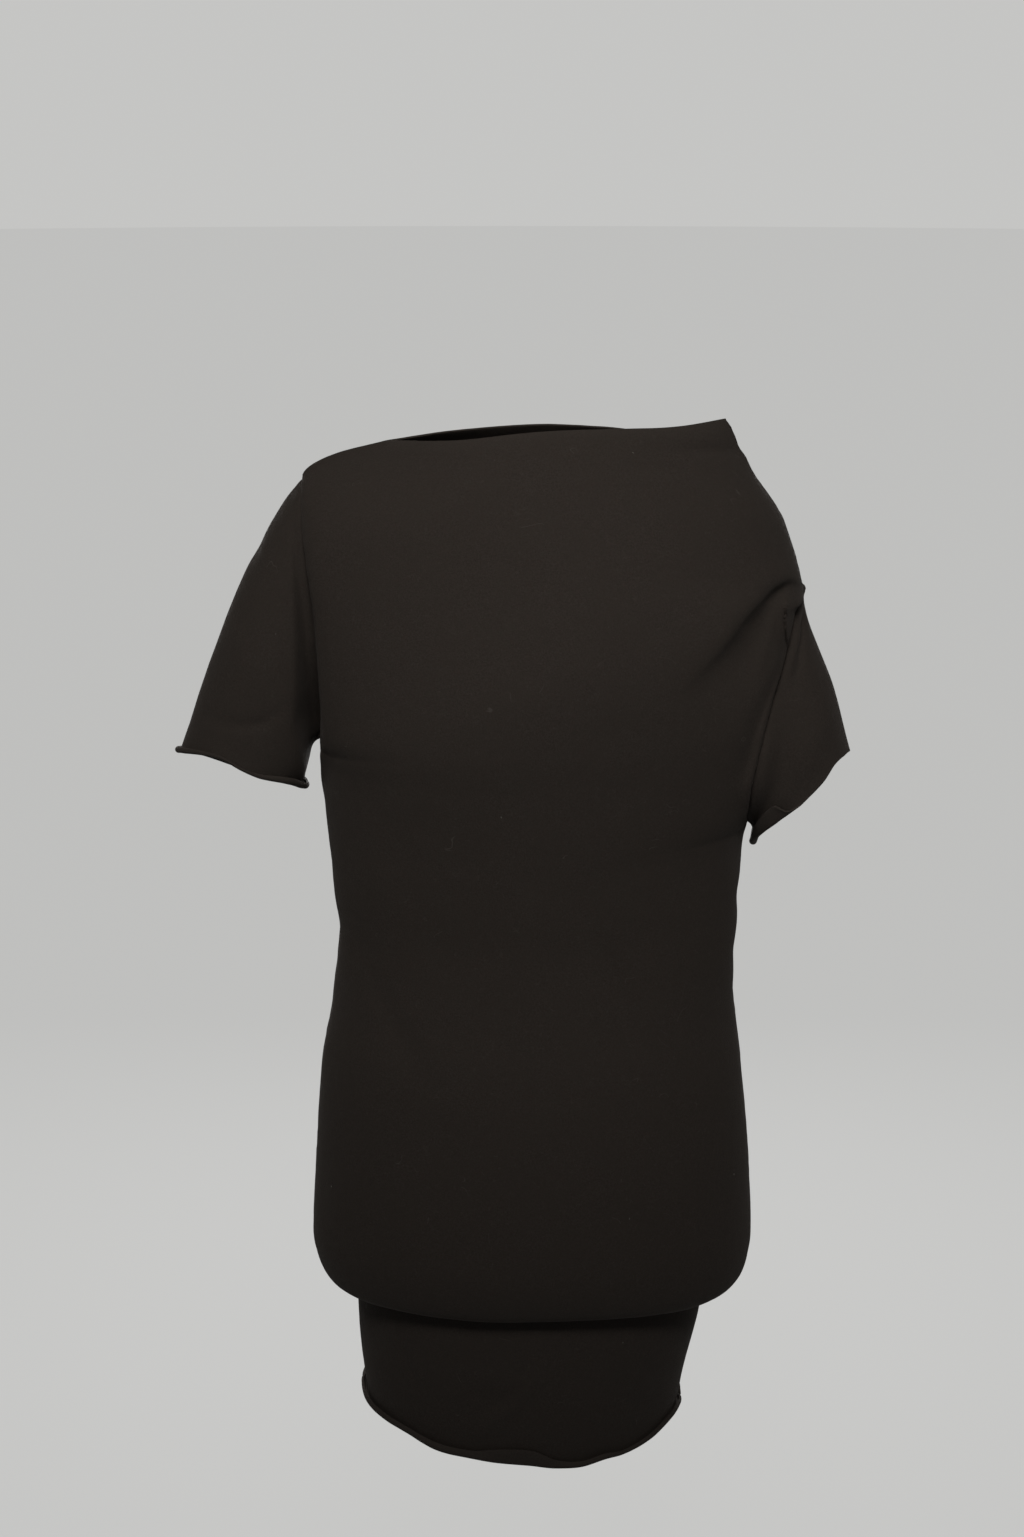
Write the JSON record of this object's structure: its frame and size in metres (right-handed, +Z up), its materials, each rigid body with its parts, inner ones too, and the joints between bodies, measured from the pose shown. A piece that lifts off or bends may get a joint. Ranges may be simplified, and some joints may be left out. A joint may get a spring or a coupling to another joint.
{
  "type": "sweater dress",
  "caption": "Short-sleeved asymmetric sweater dress in dark brown jersey knit, hollow as worn, with a wide boat neck, one dropped shoulder, a bloused lower edge and a narrow hem band.",
  "frame": {"origin": "where the wearer holds the dress up: the middle of the neck opening, at the height of the right shoulder seam's inner end", "axes": "+Z up the wearer; the front of the dress faces -Y; the wearer's right is -X"},
  "size_m": [0.6017, 0.2609, 0.9397],
  "materials": {
    "knit": "matt felted wool jersey"
  },
  "bodies": {
    "root": {"front": "knit", "back": "knit", "sleeve_right": "knit", "sleeve_left": "knit", "band_front": "knit", "band_back": "knit"}
  },
  "joints": []
}
